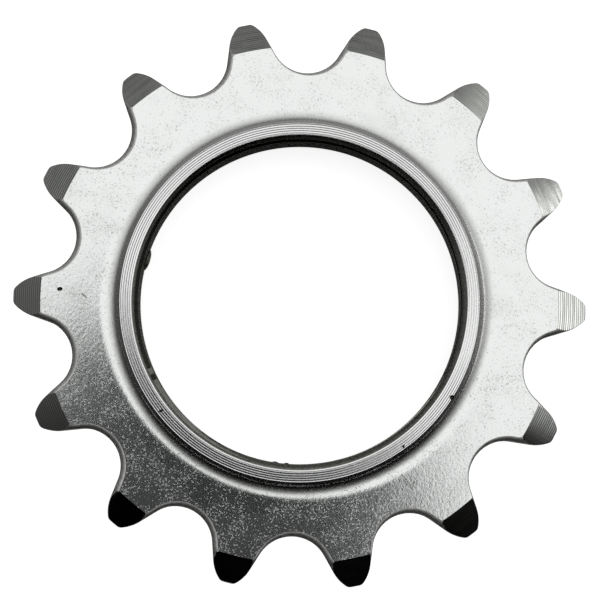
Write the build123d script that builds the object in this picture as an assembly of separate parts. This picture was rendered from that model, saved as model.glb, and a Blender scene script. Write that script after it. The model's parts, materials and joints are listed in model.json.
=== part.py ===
from build123d import *
import os
from math import cos, radians, sin, tan

# Fixed gear cog: one toothed steel ring that screws onto a track hub.
# It lies on its lockring face, with the bore along +Z and the hub boss on top.
# All sizes are in millimetres.

# Chain and teeth
chain_pitch = 12.7            # half-inch chain
tooth_count = 14
roller_diameter = 7.75        # roller of the chain that runs on the teeth
roller_play = 0.04            # the roller seat is this much larger than the roller's radius
seat_half_angle = 59.0        # how far the roller seat wraps to each side of a gap's middle
flank_length = 2.1            # straight working flank above the roller seat
topping_radius = 4.0          # rounding that carries the flank in to the tip
tip_height_share = 0.3865     # tip circle above the pitch circle, as a share of the tooth's thickness

# Toothed plate
plate_thickness = 3.0
chamfer_width = 3.0           # radial width of the turned chamfer on the teeth
chamfer_angle = 20.0          # slope of that chamfer from the plate's face
roll_width = 0.42             # rolled-over front edge left by the blanking press: along the face
roll_depth = 0.55             # and down the wall
tip_corner_margin = 0.03      # the tip corners' radius is this much larger than the roll's width
phase_angle = -1.7            # the tooth nearest +X is turned this far from it

# Hub boss on the front
boss_height = 2.8
boss_radius = 19.25
boss_edge_chamfer = 0.3
boss_root_fillet = 1.4        # concave sweep from the plate up to the boss

# Lockring land on the back
land_height = 0.8
land_radius = 20.5
land_edge_chamfer = 0.2
land_root_chamfer = 0.3

# Threaded bore, 1.37 inch by 24 per inch; the thread's helix isn't cut here
thread_minor_radius = 17.0    # crest of the internal thread
front_countersink = 0.65      # width and depth of the lead-in at the boss
back_countersink = 0.5        # width and depth of the lead-in at the land

# Worked out from the sizes above
gap_angle = 360.0 / tooth_count
pitch_radius = chain_pitch / (2 * sin(radians(gap_angle / 2)))
tooth_thickness = chain_pitch - roller_diameter   # at the pitch circle, leaving out the play
tip_radius = pitch_radius + tip_height_share * tooth_thickness
seat_radius = roller_diameter / 2 + roller_play
tip_corner_radius = roll_width + tip_corner_margin
chamfer_start_radius = tip_radius - chamfer_width
chamfer_depth = chamfer_width * tan(radians(chamfer_angle))
chamfer_apex_radius = chamfer_start_radius + plate_thickness / 2 / tan(radians(chamfer_angle))
plate_back = land_height
plate_front = plate_back + plate_thickness
boss_top = plate_front + boss_height
touching = 0.001              # a point this near a circle lies on it
beyond = 2 * chain_pitch      # how far cutting shapes run past what they cut


def tooth_gap():
    """One gap between two teeth, lying along +X: roller seat, two flanks and two toppings."""
    seat_centre = Vector(pitch_radius, 0)
    flank_direction = Vector(sin(radians(seat_half_angle)), cos(radians(seat_half_angle)))
    seat_end = seat_centre + Vector(-seat_radius * cos(radians(seat_half_angle)),
                                    seat_radius * sin(radians(seat_half_angle)))
    flank_end = seat_end + flank_direction * flank_length
    # the topping turns until it stands square to the gap
    topping = JernArc(flank_end, flank_direction, topping_radius, seat_half_angle)
    topping_end = topping @ 1
    outside = Vector(tip_radius + topping_radius, topping_end.Y)
    upper = Curve() + [Line(seat_end, flank_end), topping, Line(topping_end, outside)]
    lower = mirror(upper, Plane.XZ)
    seat = CenterArc(seat_centre, seat_radius, 180 - seat_half_angle, 2 * seat_half_angle)
    back = Line(outside, Vector(outside.X, -outside.Y))
    return make_face(Curve() + [seat, upper, lower, back])


def toothed_outline():
    """The plate seen along the bore: a disc with its gaps cut and its tip corners rounded."""
    gaps = PolarLocations(0, tooth_count, start_angle=phase_angle + gap_angle / 2)
    outline = Circle(tip_radius) - gaps * tooth_gap()
    corners = outline.vertices().filter_by(lambda v: abs(Vector(v).length - tip_radius) < touching)
    return fillet(corners, tip_corner_radius)


def turned(outline):
    """A solid of revolution about the bore's axis, from a closed outline of (radius, height)."""
    return revolve(Plane.XZ * make_face(outline), Axis.Z)


def toothed_plate():
    """The blanked plate with its rolled front edge, then chamfered on both sides of the teeth."""
    blank = extrude(Plane.XY.offset(plate_back) * toothed_outline(), plate_thickness)
    front_face = blank.faces().sort_by(Axis.Z)[-1]
    blank = chamfer(front_face.outer_wire().edges(), roll_width, roll_depth, reference=front_face)
    envelope = turned(Polyline(
        (0, plate_back),
        (chamfer_start_radius, plate_back),
        (chamfer_apex_radius, (plate_back + plate_front) / 2),
        (chamfer_start_radius, plate_front),
        (0, plate_front),
        close=True,
    ))
    return blank & envelope


def turned_core():
    """Boss and land, with the concave sweep that joins the boss to the plate."""
    sweep_radius = boss_radius + boss_root_fillet
    sweep_height = plate_front + boss_root_fillet
    sweep = CenterArc((sweep_radius, sweep_height), boss_root_fillet, 180, 90)
    rest = Polyline(
        (sweep_radius, plate_front),
        (land_radius + land_root_chamfer, plate_back),
        (land_radius, plate_back - land_root_chamfer),
        (land_radius, land_edge_chamfer),
        (land_radius - land_edge_chamfer, 0),
        (0, 0),
        (0, boss_top),
        (boss_radius - boss_edge_chamfer, boss_top),
        (boss_radius, boss_top - boss_edge_chamfer),
        (boss_radius, sweep_height),
    )
    return turned(Curve() + [sweep, rest])


def bore():
    """What the thread's tap drill and the two countersinks take away."""
    return turned(Polyline(
        (0, -beyond),
        (thread_minor_radius + back_countersink + beyond, -beyond),
        (thread_minor_radius, back_countersink),
        (thread_minor_radius, boss_top - front_countersink),
        (thread_minor_radius + front_countersink + beyond, boss_top + beyond),
        (0, boss_top + beyond),
        close=True,
    ))


cog = toothed_plate() + turned_core() - bore()

os.makedirs("parts", exist_ok=True)
export_step(cog, "parts/cog.step")
print("root radius", round(pitch_radius - seat_radius, 3), "pitch radius", round(pitch_radius, 3))
print("chamfer depth", round(chamfer_depth, 3), "overall height", boss_top)
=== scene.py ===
import bpy
import bmesh
import json
from math import atan2, cos, hypot, pi, radians, sin, sqrt, tan
from mathutils import Matrix, Vector


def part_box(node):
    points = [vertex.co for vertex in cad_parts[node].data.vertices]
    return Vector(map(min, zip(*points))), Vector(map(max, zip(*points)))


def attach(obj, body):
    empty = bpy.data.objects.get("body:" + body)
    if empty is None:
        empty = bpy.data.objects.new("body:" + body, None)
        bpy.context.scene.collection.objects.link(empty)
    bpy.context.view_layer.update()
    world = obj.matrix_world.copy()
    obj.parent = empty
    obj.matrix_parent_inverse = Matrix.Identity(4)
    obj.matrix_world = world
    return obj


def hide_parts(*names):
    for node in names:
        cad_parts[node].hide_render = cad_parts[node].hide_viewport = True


# Fixed gear cog: one toothed steel ring, blanked, tumbled and plated, then turned on its tooth
# chamfers, boss face and bore. It lies on its lockring land with the hub boss up.
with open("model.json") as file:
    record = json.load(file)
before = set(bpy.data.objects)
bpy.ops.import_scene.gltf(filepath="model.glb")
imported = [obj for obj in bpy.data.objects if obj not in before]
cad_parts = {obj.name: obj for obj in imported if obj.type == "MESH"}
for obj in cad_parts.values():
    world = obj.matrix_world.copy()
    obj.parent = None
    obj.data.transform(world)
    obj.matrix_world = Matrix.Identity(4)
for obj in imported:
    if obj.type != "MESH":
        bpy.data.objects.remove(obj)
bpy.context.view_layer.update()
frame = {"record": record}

mm = 0.001                      # sizes below are in millimetres times this
mounts = {mount["name"]: mount for mount in frame["record"]["mounts"]}
boreRadius = mounts["hub_thread"]["dims"]["r_mm"] * mm
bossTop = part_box("cog")[1].z
segments = 400                  # round the turned faces
mergeWithin = 0.002 * mm        # corners nearer than this become one
nearly = 0.01 * mm              # a place this near a face lies on it


# Small helpers for working in edit mode from code

def leaveEditMode():
    if bpy.context.mode != "OBJECT":
        bpy.ops.object.mode_set(mode="OBJECT")


def selectNothing():
    leaveEditMode()
    bpy.ops.object.select_all(action="DESELECT")


def selectOnly(piece):
    selectNothing()
    piece.select_set(True)
    bpy.context.view_layer.objects.active = piece


def edit(piece, mode="VERT"):
    selectOnly(piece)
    bpy.ops.object.mode_set(mode="EDIT")
    bpy.ops.mesh.select_mode(type=mode)
    bpy.ops.mesh.select_all(action="DESELECT")


def newPiece(name):
    # takes the primitive that was just added, carries its place into its mesh and opens it to edit
    piece = bpy.context.object
    piece.name = name
    bpy.ops.object.transform_apply(location=True, rotation=True, scale=True)
    bpy.ops.object.mode_set(mode="EDIT")
    return piece


def pickEdges(piece, wanted):
    # selects the edges whose two ends pass, and nothing else
    bpy.ops.mesh.select_mode(type="EDGE")
    mesh = bmesh.from_edit_mesh(piece.data)
    for edge in mesh.edges:
        edge.select_set(wanted(edge.verts[0].co) and wanted(edge.verts[1].co))
    mesh.select_flush_mode()
    bmesh.update_edit_mesh(piece.data)


def mergeDoubles():
    bpy.ops.mesh.select_all(action="SELECT")
    bpy.ops.mesh.remove_doubles(threshold=mergeWithin)


def facesOutward():
    bpy.ops.mesh.select_all(action="SELECT")
    bpy.ops.mesh.normals_make_consistent(inside=False)


def applyModifier(piece, kind, **settings):
    selectOnly(piece)
    modifier = piece.modifiers.new(kind.title(), kind)
    for setting, value in settings.items():
        setattr(modifier, setting, value)
    bpy.ops.object.modifier_apply(modifier=modifier.name)


def combine(piece, other, operation):
    applyModifier(piece, "BOOLEAN", object=other, operation=operation, solver="MANIFOLD")
    selectOnly(other)
    bpy.ops.object.delete()


def turnedRings(name, corners):
    # a circle carried ring by ring along corners of (radius, height), left open to edit
    radius, height = corners[0]
    selectNothing()
    bpy.ops.mesh.primitive_circle_add(vertices=segments, radius=radius, location=(0, 0, height))
    piece = newPiece(name)
    bpy.ops.mesh.select_all(action="SELECT")
    for nextRadius, nextHeight in corners[1:]:
        bpy.ops.mesh.extrude_region_move(TRANSFORM_OT_translate={"value": (0, 0, nextHeight - height)})
        scale = nextRadius / radius
        bpy.ops.transform.resize(value=(scale, scale, 1), center_override=(0, 0, nextHeight))
        radius, height = nextRadius, nextHeight
    return piece


def arcCorners(centre, radius, start, end, steps):
    # corners along an arc in the section, angles in degrees from outward
    turns = [radians(start + (end - start) * step / steps) for step in range(steps + 1)]
    return [(centre[0] + radius * cos(turn), centre[1] + radius * sin(turn)) for turn in turns]


def spunFrom(centre, turn, steps):
    # carries the selected vertex round the centre, anticlockwise for a positive turn
    bpy.ops.mesh.spin(steps=steps, angle=-turn, center=(centre.x, centre.y, 0), axis=(0, 0, 1),
                      use_auto_merge=False)


def circlesMeet(centreA, radiusA, centreB, radiusB):
    # where two circles cross, on the left of the line from A to B
    gap = centreB - centreA
    along = (radiusA ** 2 - radiusB ** 2 + gap.length ** 2) / (2 * gap.length)
    out = sqrt(max(radiusA ** 2 - along ** 2, 0))
    forward = gap.normalized()
    return centreA + forward * along + Vector((-forward.y, forward.x)) * out


# Toothed plate

plate = {
    "teeth": 14,
    "phase": radians(-1.7),             # the tooth nearest +X is turned this far
    "chainPitch": 12.7 * mm,
    "seatRadius": 3.915 * mm,
    "seatHalfAngle": radians(59),
    "flankLength": 2.1 * mm,
    "toppingRadius": 4.0 * mm,
    "tipHeight": 1.913 * mm,            # above the pitch circle
    "tipCorner": 0.7 * mm,
    "back": 0.8 * mm,
    "front": 3.8 * mm,
    "backBreak": 0.08 * mm,             # the sheared back edge is a little broken
    "chamferWidth": 3.0 * mm,
    "chamferAngle": radians(20),
    "rollWidth": 0.60 * mm,             # rolled-over front edge, seen from above
    "rollSlopes": (9, 33),              # its slope at the face and where the wall's rounding starts
    "wallRounding": 0.12 * mm,          # from there to the straight wall
    "rollAtTip": 0.12,                  # share of the roll left at the tooth tips
    "rollFade": (-0.1 * mm, 1.1 * mm),  # where it fades to that, from the chamfer's start
    "rollToward": radians(205),         # the punch sat off its die: widest on edges that face here
    "rollSpread": 1.2,                  # how far round from there the roll stays full
    "rollLeast": 0.2,                   # share of the roll on the far side
    "trim": 0.12 * mm,                  # the roll runs on past the face, for the envelope to cut
    "seatSteps": 18,
    "flankSteps": 8,
    "toppingSteps": 14,
    "cornerSteps": 5,
    "landSteps": 4,
    "rollSteps": 5,
    "roundingSteps": 3,
}
gapAngle = 2 * pi / plate["teeth"]
pitchRadius = plate["chainPitch"] / (2 * sin(gapAngle / 2))
tipRadius = pitchRadius + plate["tipHeight"]
chamferStart = tipRadius - plate["chamferWidth"]


def halfGap():
    # from the bottom of a gap along +X up one side to the middle of the tooth's tip
    selectNothing()
    bpy.ops.mesh.primitive_plane_add(size=1 * mm, location=(0, 0, 0))
    piece = newPiece("cogBody")
    bpy.ops.mesh.merge(type="CENTER")
    bpy.ops.transform.translate(value=(pitchRadius - plate["seatRadius"], 0,
                                       plate["back"] + plate["backBreak"]))
    half = plate["seatHalfAngle"]
    seatCentre = Vector((pitchRadius, 0))
    spunFrom(seatCentre, -half, plate["seatSteps"])
    seatEnd = seatCentre + Vector((-cos(half), sin(half))) * plate["seatRadius"]
    flank = Vector((sin(half), cos(half)))
    run = flank * (plate["flankLength"] / plate["flankSteps"])
    for step in range(plate["flankSteps"]):
        bpy.ops.mesh.extrude_region_move(TRANSFORM_OT_translate={"value": (run.x, run.y, 0)})
    flankEnd = seatEnd + flank * plate["flankLength"]
    toppingCentre = flankEnd + Vector((-flank.y, flank.x)) * plate["toppingRadius"]
    # the corner's circle touches the topping and the tip circle from inside
    cornerCentre = circlesMeet(toppingCentre, plate["toppingRadius"] - plate["tipCorner"],
                               Vector((0, 0)), tipRadius - plate["tipCorner"])
    toCorner = cornerCentre - toppingCentre
    fromTopping = flankEnd - toppingCentre
    toppingTurn = atan2(toCorner.y, toCorner.x) - atan2(fromTopping.y, fromTopping.x)
    spunFrom(toppingCentre, toppingTurn, plate["toppingSteps"])
    cornerTurn = atan2(cornerCentre.y, cornerCentre.x) - atan2(toCorner.y, toCorner.x)
    spunFrom(cornerCentre, cornerTurn, plate["cornerSteps"])
    landTurn = gapAngle / 2 - atan2(cornerCentre.y, cornerCentre.x)
    spunFrom(Vector((0, 0)), landTurn, plate["landSteps"])
    return piece


def toMetal(place):
    # from the outline towards the middle line of the nearest tooth, and always a little inward
    angle = atan2(place.y, place.x) - plate["phase"]
    toothAngle = round(angle / gapAngle) * gapAngle + plate["phase"]
    reach = min(hypot(place.x, place.y), chamferStart) * 0.8
    return Vector((cos(toothAngle), sin(toothAngle), 0)) * reach - Vector((place.x, place.y, 0))


def leanIn(piece, into, depth):
    # moves the selected ring into the metal, square to its line, and to its depth under the front;
    # without a depth it goes down to the back
    mesh = bmesh.from_edit_mesh(piece.data)
    moves = []
    for vert in [vert for vert in mesh.verts if vert.select]:
        before, after = [edge.other_vert(vert).co for edge in vert.link_edges if edge.select]
        along = (after - before).normalized()
        inward = Vector((-along.y, along.x, 0)).normalized()
        if inward.dot(toMetal(vert.co)) < 0:
            inward = -inward
        share = rollShare(vert.co, -inward) if depth is not None else 1
        place = vert.co + inward * into * share
        place.z = plate["back"]
        if depth is not None:
            place.z = frontAt(hypot(place.x, place.y)) - depth * share
        moves.append((vert, place))
    for vert, place in moves:
        vert.co = place
    bmesh.update_edit_mesh(piece.data)


def rollShare(place, outward):
    # full along the gaps, cut away by the chamfer on the teeth, and fading to the die's far side
    fadeFrom, fadeTo = (chamferStart + beyond for beyond in plate["rollFade"])
    fade = min(max((hypot(place.x, place.y) - fadeFrom) / (fadeTo - fadeFrom), 0), 1)
    fade = fade * fade * (3 - 2 * fade)
    side = 0.5 + 0.5 * cos(atan2(outward.y, outward.x) - plate["rollToward"])
    side = plate["rollLeast"] + (1 - plate["rollLeast"]) * min(plate["rollSpread"] * side, 1)
    return side * (1 + (plate["rollAtTip"] - 1) * fade)


def frontAt(radius):
    # height of the finished front: flat, then down the turned chamfer
    return plate["front"] - max(radius - chamferStart, 0) * tan(plate["chamferAngle"])


def rollSection():
    # (distance into the metal, depth below the front) pairs from the straight wall to the face
    shallow, steep = (radians(slope) for slope in plate["rollSlopes"])
    pairs = []
    radius = plate["wallRounding"] / (1 - sin(steep))
    for step in range(plate["roundingSteps"] + 1):
        slope = pi / 2 - (pi / 2 - steep) * step / plate["roundingSteps"]
        pairs.append((radius * (1 - sin(slope)), radius * cos(slope)))
    radius = (plate["rollWidth"] - plate["wallRounding"]) / (sin(steep) - sin(shallow))
    along, up = pairs[-1]
    for step in range(1, plate["rollSteps"] + 1):
        slope = steep - (steep - shallow) * step / plate["rollSteps"]
        pairs.append((along + radius * (sin(steep) - sin(slope)),
                      up + radius * (cos(slope) - cos(steep))))
    # a last straight run lifts the ring clear of the face, which the turned envelope then trims
    along, up = pairs[-1]
    pairs.append((along + plate["trim"], up + plate["trim"] * tan(shallow)))
    face = pairs[-2][1]
    return [(along, face - up) for along, up in pairs]


def toothedBlank():
    piece = halfGap()
    applyModifier(piece, "MIRROR", use_axis=(False, True, False), merge_threshold=mergeWithin)
    edit(piece)
    bpy.ops.mesh.select_all(action="SELECT")
    bpy.ops.transform.rotate(value=-(plate["phase"] + gapAngle / 2), orient_axis="Z",
                             center_override=(0, 0, 0))
    bpy.ops.mesh.spin(steps=plate["teeth"], dupli=True, angle=2 * pi, center=(0, 0, 0),
                      axis=(0, 0, 1), use_auto_merge=False)
    mergeDoubles()
    bpy.ops.mesh.select_all(action="SELECT")
    # straight wall, then the rolled edge ring by ring
    lastInto = 0
    for into, depth in rollSection():
        bpy.ops.mesh.extrude_region_move(TRANSFORM_OT_translate={"value": (0, 0, 0)})
        leanIn(piece, into - lastInto, depth)
        lastInto = into
    # up to a level lid that lies above the front, then the broken edge and the back
    lid = 1 * mm
    bpy.ops.mesh.extrude_region_move(TRANSFORM_OT_translate={"value": (0, 0, lid)})
    bpy.ops.transform.resize(value=(1, 1, 0), center_override=(0, 0, plate["front"] + lid))
    bpy.ops.mesh.edge_face_add()
    pickEdges(piece, lambda place: place.z < plate["back"] + 1.5 * plate["backBreak"])
    bpy.ops.mesh.extrude_region_move(TRANSFORM_OT_translate={"value": (0, 0, 0)})
    leanIn(piece, plate["backBreak"], None)
    bpy.ops.mesh.edge_face_add()
    facesOutward()
    leaveEditMode()
    return piece


def chamferEnvelope():
    # the turned faces: flat front and back, and the two cones that chamfer the teeth
    apex = chamferStart + (plate["front"] - plate["back"]) / 2 / tan(plate["chamferAngle"])
    piece = turnedRings("chamferEnvelope", [
        (chamferStart, plate["back"]), (apex, (plate["front"] + plate["back"]) / 2),
        (chamferStart, plate["front"])])
    for height in (plate["back"], plate["front"]):
        pickEdges(piece, lambda place: abs(place.z - height) < nearly)
        bpy.ops.mesh.edge_face_add()
    facesOutward()
    leaveEditMode()
    return piece


print("stage: toothed plate")
cog = toothedBlank()
combine(cog, chamferEnvelope(), "INTERSECT")
print("plate faces", len(cog.data.polygons))

# Hub boss, concave sweep and lockring land, turned in one section

core = {
    "bossRadius": 19.25 * mm,
    "bossEdge": 0.35 * mm,              # chamfer round the boss face
    "bossEdgeDrop": 0.20 * mm,
    "edgeRound": 0.05 * mm,             # where tumbling softened the turned corners
    "sweepReach": 2.1 * mm,             # the sweep is flatter at the plate than at the boss
    "sweepRise": 0.55 * mm,
    "sweepSteps": 18,
    "frontCountersink": 0.65 * mm,
    "backCountersink": 0.5 * mm,
    "landRadius": 20.5 * mm,
    "landEdge": 0.2 * mm,
    "landRoot": 0.3 * mm,
    "under": 0.3 * mm,                  # how far the section runs on inside the plate
    "ledge": 0.06 * mm,                 # narrow flat between the countersink and the thread
    "grooveCount": 5,
    "grooveInner": 17.87 * mm,          # outer wall of the first groove in the boss face
    "groovePitch": 0.238 * mm,
    "grooveWidth": 0.085 * mm,
    "grooveDepth": 0.038 * mm,
    "crown": 0.006 * mm,                # the ridges between the grooves are a little rounded
    "lipFall": (0.16 * mm, 0.012 * mm), # across and down, where the face falls away
}


def grooveCorners():
    # turning marks in the boss face, from outside in: each groove slopes down outward, then steps up
    corners = []
    for number in reversed(range(core["grooveCount"])):
        outer = core["grooveInner"] + number * core["groovePitch"]
        inner = outer - core["grooveWidth"]
        corners += [(outer + (core["groovePitch"] - core["grooveWidth"]) / 2, bossTop),
                    (outer + nearly, bossTop - core["crown"]),
                    (outer, bossTop - core["crown"] - core["grooveDepth"]),
                    (inner, bossTop - core["crown"])]
    return corners


def coreSection():
    landRootCentre = (core["landRadius"] + core["landRoot"], plate["back"] - core["landRoot"])
    deep = plate["back"] + core["under"]
    shallow = plate["front"] - core["under"]
    rounding = core["edgeRound"]
    # the back's countersink and the lockring land
    corners = [(boreRadius, core["backCountersink"]),
               (boreRadius + core["backCountersink"], 0),
               (core["landRadius"] - core["landEdge"], 0),
               (core["landRadius"], core["landEdge"])]
    corners += arcCorners(landRootCentre, core["landRoot"], 180, 90, 5)
    sweepOuter = core["bossRadius"] + core["sweepReach"]
    sweepTop = plate["front"] + core["sweepRise"]
    corners += [(landRootCentre[0] + core["under"], deep), (sweepOuter + core["under"], shallow)]
    # the sweep, a quarter of an ellipse
    for across, up in arcCorners((0, 0), 1, 270, 180, core["sweepSteps"]):
        corners.append((sweepOuter + across * core["sweepReach"], sweepTop + up * core["sweepRise"]))
    # the chamfer round the boss face, softened at both of its corners
    edgeOuter = core["bossRadius"] - core["bossEdge"]
    corners += [(core["bossRadius"], bossTop - core["bossEdgeDrop"] - rounding),
                (core["bossRadius"] - rounding * 0.7, bossTop - core["bossEdgeDrop"] + rounding * 0.3),
                (edgeOuter + rounding * 0.7, bossTop - rounding * 0.6),
                (edgeOuter - rounding * 0.4, bossTop)]
    corners += grooveCorners()
    # the face falls away to the front's countersink
    lip = boreRadius + core["frontCountersink"]
    fallWidth, fall = core["lipFall"]
    corners += [(lip + fallWidth, bossTop), (lip + fallWidth / 2, bossTop - fall * 0.3),
                (lip, bossTop - fall), (lip - rounding, bossTop - rounding - fall / 2),
                (boreRadius + core["ledge"], bossTop - core["frontCountersink"]),
                (boreRadius, bossTop - core["frontCountersink"]),
                (boreRadius, core["backCountersink"])]
    return corners


def turnedCore():
    piece = turnedRings("turnedCore", coreSection())
    mergeDoubles()
    facesOutward()
    leaveEditMode()
    return piece


def boreCutter():
    # clears the plate's middle, so that the core alone makes the bore
    middle = (boreRadius + core["landRadius"]) / 2
    selectNothing()
    bpy.ops.mesh.primitive_cylinder_add(vertices=segments, radius=middle, depth=2 * bossTop,
                                        location=(0, 0, plate["front"]))
    piece = newPiece("boreCutter")
    leaveEditMode()
    return piece


print("stage: boss, land and bore")
combine(cog, boreCutter(), "DIFFERENCE")
combine(cog, turnedCore(), "UNION")
print("faces", len(cog.data.polygons))

# Hub thread, 24 turns to the inch and right-handed

thread = {
    "pitch": 25.4 / 24 * mm,
    "depth": 0.42 * mm,
    "rootFlat": 0.1 * mm,
    "crestShare": 0.82,                 # how much of the pitch the groove opens to at the crest
    "stepsPerTurn": 160,
    "turns": 8,
    "start": radians(35),               # where the thread runs out of the boss's countersink
    "overrun": 1.2,                     # turns that the cutter runs on above the boss
    "inside": 0.15 * mm,                # how far the cutter stands in from the bore
}


def threadCutter():
    # a groove section on +X, screwed up through the bore and past both of its ends
    halfMouth = thread["pitch"] * thread["crestShare"] / 2
    halfRoot = thread["rootFlat"] / 2
    halfInner = halfMouth + thread["inside"] * (halfMouth - halfRoot) / thread["depth"]
    inner, outer = boreRadius - thread["inside"], boreRadius + thread["depth"]
    selectNothing()
    bpy.ops.mesh.primitive_plane_add(size=1 * mm, location=(0, 0, 0))
    piece = newPiece("threadCutter")
    mesh = bmesh.from_edit_mesh(piece.data)
    places = [(inner, -halfInner), (outer, -halfRoot), (outer, halfRoot), (inner, halfInner)]
    rise = thread["pitch"] * thread["turns"]
    low = bossTop - rise + thread["overrun"] * thread["pitch"]
    ring = [loop.vert for loop in mesh.faces[:][0].loops]
    for vert, (radius, height) in zip(ring, places):
        vert.co = (radius, 0, low + height)
    bmesh.update_edit_mesh(piece.data)
    bpy.ops.mesh.delete(type="ONLY_FACE")
    bpy.ops.mesh.select_all(action="SELECT")
    bpy.ops.transform.rotate(value=-thread["start"], orient_axis="Z", center_override=(0, 0, 0))
    leaveEditMode()
    applyModifier(piece, "SCREW", axis="Z", angle=2 * pi, screw_offset=thread["pitch"],
                  iterations=thread["turns"], steps=thread["stepsPerTurn"],
                  render_steps=thread["stepsPerTurn"], use_merge_vertices=False)
    edit(piece, "EDGE")
    bpy.ops.mesh.select_non_manifold(extend=False)
    bpy.ops.mesh.edge_face_add()
    facesOutward()
    leaveEditMode()
    return piece


print("stage: thread")
combine(cog, threadCutter(), "DIFFERENCE")

# Marks of use: a pit and scratches in the plate, nicks in the boss face, burrs in the bore

marks = {
    # each is (distance from the bore's axis, angle, height), then its half sizes along, across and
    # up, and its turn, in millimetres and degrees
    "dents": (
        ((25.45, 176.5, 3.8), (0.30, 0.21, 0.25), 10),
        ((22.81, 177.9, 3.8), (0.42, 0.08, 0.07), -40),
        ((21.95, 301.0, 3.8), (0.98, 0.11, 0.09), -53),
        ((22.54, 302.3, 3.8), (0.34, 0.08, 0.06), 70),
        ((18.85, 327.9, 6.6), (0.26, 0.24, 0.26), 0),
        ((18.62, 305.8, 6.6), (0.20, 0.10, 0.16), 60),
        ((18.50, 218.2, 6.6), (0.24, 0.15, 0.16), 30),
    ),
    "burrs": (
        ((17.02, 163.5, 1.1), (0.34, 1.15, 0.40), 163.5),
        ((17.02, 261.3, 1.1), (0.15, 0.35, 0.30), 261.3),
        ((17.02, 265.3, 1.1), (0.15, 0.30, 0.30), 265.3),
    ),
    "shadeFrom": 0.1,                    # a dent that is deeper than this gets painted shade inside
}


def placeOf(mark):
    radius, angle, height = mark
    across, along = radius * cos(radians(angle)), radius * sin(radians(angle))
    return Vector((across * mm, along * mm, height * mm))


def markShape(mark, size, turn):
    selectNothing()
    bpy.ops.mesh.primitive_uv_sphere_add(
        segments=20, ring_count=10, radius=1 * mm, scale=size, rotation=(0, 0, radians(turn)),
        location=placeOf(mark))
    piece = newPiece("mark")
    leaveEditMode()
    return piece


print("stage: marks of use")
for mark, size, turn in marks["burrs"]:
    combine(cog, markShape(mark, size, turn), "UNION")
for mark, size, turn in marks["dents"]:
    combine(cog, markShape(mark, size, turn), "DIFFERENCE")
edit(cog)
mergeDoubles()
leaveEditMode()
print("triangles", sum(len(face.vertices) - 2 for face in cog.data.polygons))

# Finishes: helpers to lay out nodes, then the effects that several of them share

def addNode(tree, kind, **settings):
    node = tree.nodes.new(kind)
    for setting, value in settings.items():
        setattr(node, setting, value)
    return node


def fill(tree, target, value):
    # a node's socket takes either another socket or a plain value
    if isinstance(value, bpy.types.NodeSocket):
        tree.links.new(value, target)
    else:
        target.default_value = value


def maths(tree, operation, first, second=None):
    node = addNode(tree, "ShaderNodeMath", operation=operation)
    fill(tree, node.inputs[0], first)
    if second is not None:
        fill(tree, node.inputs[1], second)
    return node.outputs[0]


def between(tree, value, low, high, outLow=0.0, outHigh=1.0):
    # a smooth step of the value from one range to another
    node = addNode(tree, "ShaderNodeMapRange", interpolation_type="SMOOTHSTEP")
    for target, given in zip(node.inputs, (value, low, high, outLow, outHigh)):
        fill(tree, target, given)
    return node.outputs[0]


def mixColours(tree, share, first, second):
    node = addNode(tree, "ShaderNodeMix", data_type="RGBA")
    fill(tree, node.inputs[0], share)
    fill(tree, node.inputs[6], first)
    fill(tree, node.inputs[7], second)
    return node.outputs[2]


def noise(tree, vector, scale, detail=2.0, roughness=0.5, distortion=0.0):
    node = addNode(tree, "ShaderNodeTexNoise")
    tree.links.new(vector, node.inputs["Vector"])
    for name, value in (("Scale", scale), ("Detail", detail), ("Roughness", roughness),
                        ("Distortion", distortion)):
        fill(tree, node.inputs[name], value)
    return node.outputs["Fac"]


def shaded(colour, share):
    return [channel * share for channel in colour[:3]] + [1]


def millimetres(tree, turn=0.0, stretch=(1.0, 1.0, 1.0)):
    # object coordinates in millimetres, turned about the bore and stretched
    place = addNode(tree, "ShaderNodeTexCoord").outputs["Object"]
    mapping = addNode(tree, "ShaderNodeMapping")
    tree.links.new(place, mapping.inputs["Vector"])
    mapping.inputs["Rotation"].default_value = (0, 0, turn)
    mapping.inputs["Scale"].default_value = [1 / (mm * share) for share in stretch]
    return mapping.outputs["Vector"]


def outFromBore(tree):
    # distance from the bore's axis in millimetres
    flat = addNode(tree, "ShaderNodeVectorMath", operation="MULTIPLY")
    tree.links.new(millimetres(tree), flat.inputs[0])
    flat.inputs[1].default_value = (1, 1, 0)
    length = addNode(tree, "ShaderNodeVectorMath", operation="LENGTH")
    tree.links.new(flat.outputs[0], length.inputs[0])
    return length.outputs["Value"]


def newGroup(name, inputs, outputs):
    # each input is a name, its kind of socket and its usual value
    group = bpy.data.node_groups.new(name, "ShaderNodeTree")
    for title, kind, value in inputs:
        socket = group.interface.new_socket(title, in_out="INPUT", socket_type=kind)
        socket.default_value = value
    for title, kind in outputs:
        group.interface.new_socket(title, in_out="OUTPUT", socket_type=kind)
    return group, addNode(group, "NodeGroupInput"), addNode(group, "NodeGroupOutput")


def useGroup(tree, group, **values):
    node = addNode(tree, "ShaderNodeGroup", node_tree=group)
    for name, value in values.items():
        fill(tree, node.inputs[name], value)
    return node


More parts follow.
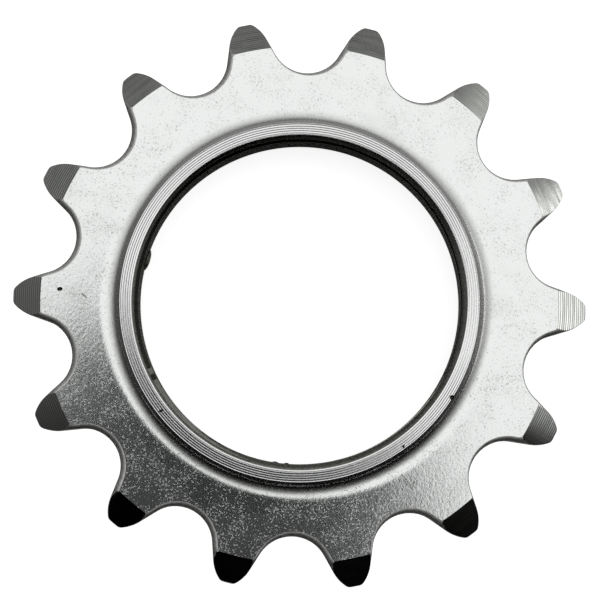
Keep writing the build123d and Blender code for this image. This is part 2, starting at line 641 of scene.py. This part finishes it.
def tumbledGrainGroup():
    # skin of a part that was tumbled with stones and plated: small wandering dents and fine pits
    group, given, made = newGroup("tumbledGrain", [
        ("Size", "NodeSocketFloat", 0.45), ("Pits", "NodeSocketFloat", 0.3)],
        [("Height", "NodeSocketFloat"), ("Tone", "NodeSocketFloat")])
    drawnOut = millimetres(group, radians(45), (1.0, 1.3, 1.0))
    place = millimetres(group)
    scale = maths(group, "DIVIDE", 1.0, given.outputs["Size"])
    finer = maths(group, "MULTIPLY", scale, 1.7)
    clusters = noise(group, place, 0.45, detail=2.0, roughness=0.6)
    dents = noise(group, drawnOut, scale, detail=2.5, roughness=0.65, distortion=0.4)
    fine = noise(group, place, finer, detail=1.0, roughness=0.5, distortion=0.8)
    # fine pits, more of them where the clusters are
    sparse = maths(group, "MULTIPLY", maths(group, "SUBTRACT", clusters, 0.5), 0.3)
    pitted = between(group, maths(group, "ADD", fine, sparse), 0.62, 0.72)
    # narrow wandering creases along the dents' middle level
    creases = maths(group, "ABSOLUTE", maths(group, "SUBTRACT", dents, 0.5))
    creases = between(group, creases, 0.008, 0.03, 0.5, 0.0)
    creases = maths(group, "MULTIPLY", creases, between(group, clusters, 0.42, 0.6))
    height = maths(group, "ADD", dents, maths(group, "MULTIPLY", fine, 0.15))
    height = maths(group, "SUBTRACT", height, maths(group, "MULTIPLY", pitted, given.outputs["Pits"]))
    group.links.new(height, made.inputs["Height"])
    group.links.new(maths(group, "MAXIMUM", pitted, creases), made.inputs["Tone"])
    return group


def turningLinesGroup():
    # rings left by the turning tool, wandering in depth from line to line and round the ring
    group, given, made = newGroup("turningLines", [
        ("Pitch", "NodeSocketFloat", 0.11), ("Waver", "NodeSocketFloat", 0.5)],
        [("Height", "NodeSocketFloat"), ("Tone", "NodeSocketFloat")])
    place = millimetres(group)
    radius = outFromBore(group)
    waver = noise(group, place, 0.35, detail=1.0)
    turns = maths(group, "DIVIDE", radius, given.outputs["Pitch"])
    turns = maths(group, "ADD", turns, maths(group, "MULTIPLY", waver, given.outputs["Waver"]))
    wave = maths(group, "SINE", maths(group, "MULTIPLY", turns, 2 * pi))
    # one depth for each line, changing slowly round the ring
    eachLine = addNode(group, "ShaderNodeCombineXYZ")
    fill(group, eachLine.inputs["X"], maths(group, "FLOOR", turns))
    slowly = noise(group, place, 0.12, detail=0.0)
    fill(group, eachLine.inputs["Y"], maths(group, "MULTIPLY", slowly, 6.0))
    depth = noise(group, eachLine.outputs[0], 0.73, detail=2.0)
    group.links.new(maths(group, "MULTIPLY", wave, depth), made.inputs["Height"])
    group.links.new(depth, made.inputs["Tone"])
    return group


tumbledGrain = tumbledGrainGroup()
turningLines = turningLinesGroup()


def newMaterial(name):
    material = bpy.data.materials.new(name)
    material.use_nodes = True
    return material, material.node_tree, material.node_tree.nodes["Principled BSDF"]


def metal(name):
    material, tree, shader = newMaterial(name)
    shader.inputs["Metallic"].default_value = 1.0
    return material, tree, shader


finish = {
    # sizes in millimetres, but for the depths of the bumps
    "plateColour": (0.765, 0.785, 0.77, 1),
    "plateDull": (0.56, 0.58, 0.56, 1),
    "plateRoughness": 0.125,
    "plateSpread": 0.10,                # how much rougher its pits and creases are
    "grainSize": 0.34,
    "grainPits": 0.45,
    "grainDepth": 0.0056 * mm,
    # the sweep's colour is painted shade, darkening the plate in to the boss's root
    "sweepShadeColour": (0.70, 0.71, 0.69, 1),
    "sweepShadeFade": (19.7, 20.75),         # radii between which the painted shade at the root clears
    "sweepRagged": 0.9,                 # how far that border wanders
    "sweepRougher": 0.12,
    "chamferColour": (0.80, 0.82, 0.78, 1),
    "chamferRoughness": 0.08,
    "linePitch": 0.22,
    "lineDepth": 0.0036 * mm,
    "lineWaver": 0.3,
    "lineShade": 0.7,                   # colour of the lines' dark side, as a share
    "ringColour": (0.92, 0.93, 0.92, 1),
    "ringRoughness": 0.12,
    "ringPitch": 0.06,
    "ringDepth": 0.0003 * mm,
    "rollColour": (0.74, 0.74, 0.72, 1),
    "rollRoughness": 0.36,
    # the rim's and the wall's colours are painted shade, dark where these steep faces would mirror the
    # white floor
    "rimShadeColour": (0.17, 0.17, 0.16, 1),
    # the root's colour is painted shade, in the crease at the boss's root and inside deep dents
    "rootShadeColour": (0.07, 0.07, 0.065, 1),
    "wallShadeColour": (0.23, 0.23, 0.215, 1),
    "wallRoughness": 0.35,
    # the thread's colour is painted shade in the bore
    "threadShadeColour": (0.10, 0.098, 0.088, 1),
    "threadRoughness": 0.22,
    "leadColour": (0.6, 0.6, 0.56, 1),
    "leadRoughness": 0.16,
    "streakShade": 0.75,                # colour of the punch's streaks, as a share
    "streakDepth": 0.006 * mm,
}


def bumped(tree, shader, height, depth):
    node = addNode(tree, "ShaderNodeBump")
    node.inputs["Distance"].default_value = depth
    fill(tree, node.inputs["Height"], height)
    tree.links.new(node.outputs["Normal"], shader.inputs["Normal"])


def tumbledPlate():
    # bright on the flat, with painted shade darkening it in to the boss's root
    material, tree, shader = metal("tumbledPlate")
    place = millimetres(tree)
    grain = useGroup(tree, tumbledGrain, Size=finish["grainSize"], Pits=finish["grainPits"])
    tone = grain.outputs["Tone"]
    # dull in the pits and creases, and in a few wide patches
    patches = noise(tree, place, 0.16, detail=3.0, roughness=0.6)
    dull = maths(tree, "MULTIPLY", tone, 0.9)
    dull = maths(tree, "ADD", dull, between(tree, patches, 0.55, 0.75, 0.0, 0.35))
    colour = mixColours(tree, dull, finish["plateColour"], finish["plateDull"])
    # the border of the painted shade at the root wanders in and out by half of its raggedness
    ragged = noise(tree, place, 1.6, detail=3.0, roughness=0.7)
    ragged = maths(tree, "MULTIPLY", ragged, finish["sweepRagged"])
    ragged = maths(tree, "SUBTRACT", finish["sweepRagged"] / 2, ragged)
    radius = maths(tree, "ADD", outFromBore(tree), ragged)
    root = between(tree, radius, *finish["sweepShadeFade"], 1.0, 0.0)
    colour = mixColours(tree, root, colour, finish["sweepShadeColour"])
    fill(tree, shader.inputs["Base Color"], colour)
    rough = maths(tree, "MULTIPLY", tone, finish["plateSpread"])
    rough = maths(tree, "ADD", finish["plateRoughness"], rough)
    rough = maths(tree, "ADD", rough, maths(tree, "MULTIPLY", root, finish["sweepRougher"]))
    fill(tree, shader.inputs["Roughness"], rough)
    bumped(tree, shader, grain.outputs["Height"], finish["grainDepth"])
    return material


def turnedFace(name, colour, roughness, pitch, depth):
    material, tree, shader = metal(name)
    lines = useGroup(tree, turningLines, Pitch=pitch, Waver=finish["lineWaver"])
    darker = shaded(colour, finish["lineShade"])
    colour = mixColours(tree, lines.outputs["Tone"], colour, darker)
    fill(tree, shader.inputs["Base Color"], colour)
    shader.inputs["Roughness"].default_value = roughness
    bumped(tree, shader, lines.outputs["Height"], depth)
    return material


def turnedBright(name, colour, roughness):
    # smeared across its turning lines, as a polished facing cut is
    material = turnedFace(name, colour, roughness, finish["ringPitch"], finish["ringDepth"])
    tree = material.node_tree
    shader = tree.nodes["Principled BSDF"]
    shader.inputs["Anisotropic"].default_value = 0.85
    shader.inputs["Anisotropic Rotation"].default_value = 0.25
    tangent = addNode(tree, "ShaderNodeTangent", direction_type="RADIAL", axis="Z")
    tree.links.new(tangent.outputs[0], shader.inputs["Tangent"])
    return material


def shearedEdge(name, colour, roughness):
    # drawn down the wall by the punch: streaks that run with the bore
    material, tree, shader = metal(name)
    drawnDown = millimetres(tree, stretch=(1.0, 1.0, 6.0))
    streaks = noise(tree, drawnDown, 3.0, detail=3.0, roughness=0.6)
    darker = shaded(colour, finish["streakShade"])
    colour = mixColours(tree, between(tree, streaks, 0.4, 0.7), colour, darker)
    fill(tree, shader.inputs["Base Color"], colour)
    shader.inputs["Roughness"].default_value = roughness
    # painted dark reflection: the reflection is darkened at a grazing look too
    shader.inputs["Specular Tint"].default_value = darker
    bumped(tree, shader, streaks, finish["streakDepth"])
    return material


finishes = {
    "plate": tumbledPlate(),
    "chamfer": turnedFace("turnedChamfer", finish["chamferColour"], finish["chamferRoughness"],
                          finish["linePitch"], finish["lineDepth"]),
    "ring": turnedBright("turnedRing", finish["ringColour"], finish["ringRoughness"]),
    "roll": shearedEdge("rolledEdge", finish["rollColour"], finish["rollRoughness"]),
    "rim": shearedEdge("paintedShadeRim", finish["rimShadeColour"], finish["wallRoughness"]),
    "root": shearedEdge("paintedShadeRoot", finish["rootShadeColour"], finish["wallRoughness"]),
    "wall": shearedEdge("shearedWallPaintedShade", finish["wallShadeColour"], finish["wallRoughness"]),
    "thread": shearedEdge("paintedShadeThread", finish["threadShadeColour"], finish["threadRoughness"]),
    "lead": shearedEdge("darkLead", finish["leadColour"], finish["leadRoughness"]),
}
slotOf = {}
for key, material in finishes.items():
    slotOf[key] = len(cog.data.materials)
    cog.data.materials.append(material)


# middles and reaches of the dents that get painted shade inside
shadedDents = [(placeOf(mark), max(size) * mm) for mark, size, turn in marks["dents"]
             if size[2] > marks["shadeFrom"]]
grooveFloor = 0.06 * mm         # deeper than the grooves and the lip lie under the boss face
shadedSweep = 0.74               # the sweep's part with painted shade: a face that looks up less than this
flatFace = 0.995                # and a flat one looks up more than this
wallFace = 0.15                 # a face of the straight wall looks up less than this
inside = 0.012 * mm             # a face in a dent lies at least this deep


def inShadedDent(centre):
    return any(centre.z < place.z - inside and (centre - place).length < reach
               for place, reach in shadedDents)


def finishFor(centre, radius, normal):
    # which finish a face has, by where it lies and which way it looks
    # deep dents get the root finish's painted shade
    if inShadedDent(centre):
        return "root"
    if radius < boreRadius + core["frontCountersink"] - 0.02 * mm:
        onLead = centre.z > bossTop - core["frontCountersink"] - nearly and normal.z > 0.6
        return "lead" if onLead else "thread"
    ringOuter = core["bossRadius"] - core["bossEdge"] + 2 * nearly
    if centre.z > bossTop - grooveFloor and radius < ringOuter:
        return "ring"
    if radius < core["bossRadius"] + core["sweepReach"] + 1 * mm:
        atRoot = plate["front"] < centre.z < plate["front"] + core["sweepRise"]
        # the sweep's steep faces at the boss's root get the root finish's painted shade
        return "root" if atRoot and normal.z < shadedSweep else "plate"
    if centre.z < plate["back"] + nearly or normal.z > flatFace:
        return "plate"
    coneSlope = cos(plate["chamferAngle"])
    outward = Vector((centre.x, centre.y, 0)).normalized()
    onCone = abs(abs(normal.z) - coneSlope) < 0.01 and normal.dot(outward) > 0.3
    if onCone and radius > chamferStart - 0.05 * mm:
        return "chamfer"
    if normal.z > cos(radians(plate["rollSlopes"][1] + 1)):
        return "roll"
    # the rim and the wall are painted dark: painted shade
    return "rim" if normal.z > wallFace else "wall"


print("stage: finishes")
facesOnEdge = {}                # the finishes' slots on each edge
for face in cog.data.polygons:
    places = [cog.data.vertices[index].co for index in face.vertices]
    radius = sum(hypot(place.x, place.y) for place in places) / len(places)
    face.material_index = slotOf[finishFor(face.center, radius, face.normal)]
    for key in face.edge_keys:
        facesOnEdge.setdefault(key, set()).add(face.material_index)

# the turned faces end in creases, and so does the plate at its roll, so that no shading runs on
creased = {slotOf["chamfer"], slotOf["ring"]}
for edge in cog.data.edges:
    slots = facesOnEdge[edge.key]
    rolledOver = slots == {slotOf["plate"], slotOf["roll"]}
    edge.use_edge_sharp = rolledOver or (len(slots) > 1 and bool(slots & creased))
selectOnly(cog)
smoothUnder = radians(17)
bpy.ops.object.shade_smooth_by_angle(angle=smoothUnder, keep_sharp_edges=True)
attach(cog, "root")
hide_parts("cog")

# Camera, studio and floor

view = {
    "place": (0, -18.7 * mm, 293.8 * mm),
    "aim": (0.58 * mm, -0.15 * mm, 3.8 * mm),
    "lens": 161.9,                      # focal length in millimetres
    "clipStart": 1 * mm,
}

studio = {
    "overhead": 1.1,                    # brightness of the soft light straight above
    # belts round it: the angles from the zenith between which each takes over, then its stops of
    # (angle anticlockwise from +X, brightness)
    "belts": (
        ((18, 26), ((0, 0.68), (30, 0.87), (60, 1.05), (90, 1.0), (120, 0.88), (180, 0.92),
                    (208, 0.4), (225, 0.06), (300, 0.06), (330, 0.42))),
        ((27, 34), ((0, 0.42), (30, 0.6), (60, 0.95), (90, 0.75), (120, 0.64), (150, 0.74),
                    (180, 0.38), (208, 0.05), (225, 0.0), (300, 0.01), (330, 0.11))),
        ((35, 41), ((0, 0.24), (30, 0.38), (60, 0.58), (90, 0.4), (120, 0.38), (150, 0.36),
                    (180, 0.13), (208, 0.03), (220, 0.0), (315, 0.0), (330, 0.02))),
        ((42.5, 45), ((0, 1.7), (26, 1.8), (32, 0.25), (38, 0.5), (45, 1.1), (50, 0.75),
                      (57, 0.1), (75, 0.07), (140, 0.07), (180, 0.09), (204, 0.03), (218, 0.0),
                      (334, 0.0), (341, 0.6), (349, 1.6))),
        ((49, 53), ((0, 0.12), (30, 0.25), (60, 0.26), (90, 0.25), (120, 0.25), (150, 0.16),
                    (180, 0.07), (205, 0.02), (220, 0.0), (315, 0.0), (330, 0.02))),
        ((62, 72), ((0, 0.11), (30, 0.24), (60, 0.3), (90, 0.36), (120, 0.3), (150, 0.10),
                    (180, 0.05), (210, 0.0), (310, 0.0), (330, 0.03))),
        ((78, 86), ((0, 0.2), (30, 0.22), (60, 0.3), (90, 0.35), (120, 0.2), (150, 0.14),
                    (180, 0.12), (210, 0.02), (310, 0.0), (330, 0.05))),
    ),
    "floorSize": 12,                    # metres
    "floorColour": (0.82, 0.82, 0.82, 1),
    "floorRoughness": 0.8,
    "floorGlow": 0.80,                  # for the rays that see the floor white
    "cardRadius": 53 * mm,
    "cardPlace": (-24 * mm, -33 * mm, 298 * mm),
    "cardColour": (0.02, 0.022, 0.022, 1),
    "cardRoughness": 0.9,
}


def addCamera():
    selectNothing()
    bpy.ops.object.camera_add(location=view["place"])
    camera = bpy.context.object
    camera.name = "photoCamera"
    camera.data.lens = view["lens"]
    camera.data.clip_start = view["clipStart"]
    backward = (Vector(view["place"]) - Vector(view["aim"])).normalized()
    right = Vector((0, 1, 0)).cross(backward).normalized()
    upward = backward.cross(right)
    camera.rotation_euler = Matrix((right, upward, backward)).transposed().to_euler()
    bpy.context.scene.camera = camera


def plainMaterial(name, colour, roughness):
    material, tree, shader = newMaterial(name)
    shader.inputs["Base Color"].default_value = colour
    shader.inputs["Roughness"].default_value = roughness
    return material, tree, shader


def aroundRamp(tree, share, stops):
    # brightness along one belt, closed on its first stop
    node = addNode(tree, "ShaderNodeValToRGB")
    tree.links.new(share, node.inputs["Fac"])
    ramp = node.color_ramp
    ramp.interpolation = "EASE"
    closed = list(stops) + [(360, stops[0][1])]
    while len(ramp.elements) < len(closed):
        ramp.elements.new(1.0)
    for element, (angle, tone) in zip(ramp.elements, closed):
        element.position = angle / 360
        element.color = (tone, tone, tone, 1)
    return node.outputs["Color"]


def lightStudio():
    # one big soft light overhead, with belts of dimmer room round it down to the horizon
    world = bpy.data.worlds.new("studio")
    bpy.context.scene.world = world
    world.use_nodes = True
    tree = world.node_tree
    direction = addNode(tree, "ShaderNodeTexCoord").outputs["Generated"]
    parts = addNode(tree, "ShaderNodeSeparateXYZ")
    tree.links.new(direction, parts.inputs[0])
    fromAbove = maths(tree, "MULTIPLY", maths(tree, "ARCCOSINE", parts.outputs["Z"]), 180 / pi)
    around = maths(tree, "ARCTAN2", parts.outputs["Y"], parts.outputs["X"])
    around = maths(tree, "FRACT", maths(tree, "DIVIDE", around, 2 * pi))
    tone = (studio["overhead"],) * 3 + (1,)
    for edges, stops in studio["belts"]:
        tone = mixColours(tree, between(tree, fromAbove, *edges), tone,
                          aroundRamp(tree, around, stops))
    tree.links.new(tone, tree.nodes["Background"].inputs["Color"])


def darkCard():
    # a small dark flag beside the camera, which the polished faces mirror
    selectNothing()
    bpy.ops.mesh.primitive_circle_add(vertices=64, radius=studio["cardRadius"], fill_type="NGON",
                                      location=studio["cardPlace"])
    card = bpy.context.object
    card.name = "darkCard"
    material, tree, shader = plainMaterial("cardBlack", studio["cardColour"],
                                           studio["cardRoughness"])
    card.data.materials.append(material)
    card.visible_camera = False
    card.visible_diffuse = False
    card.visible_shadow = False


def paleFloor():
    selectNothing()
    bpy.ops.mesh.primitive_plane_add(size=studio["floorSize"], location=(0, 0, 0))
    floor = bpy.context.object
    floor.name = "floor"
    material, tree, shader = plainMaterial("paleFloor", studio["floorColour"],
                                           studio["floorRoughness"])
    shader.inputs["Specular IOR Level"].default_value = 0.0
    # rays from the camera and from mirror-like faces see the floor white
    rays = addNode(tree, "ShaderNodeLightPath").outputs
    seen = maths(tree, "MAXIMUM", rays["Is Camera Ray"], rays["Is Glossy Ray"])
    seen = maths(tree, "MAXIMUM", seen, rays["Is Transmission Ray"])
    shader.inputs["Emission Color"].default_value = (1, 1, 1, 1)
    tree.links.new(maths(tree, "MULTIPLY", seen, studio["floorGlow"]),
                   shader.inputs["Emission Strength"])
    floor.data.materials.append(material)


print("stage: camera, studio and floor")
addCamera()
lightStudio()
darkCard()
paleFloor()
bpy.context.scene.view_settings.view_transform = "Standard"

print("stage: done")
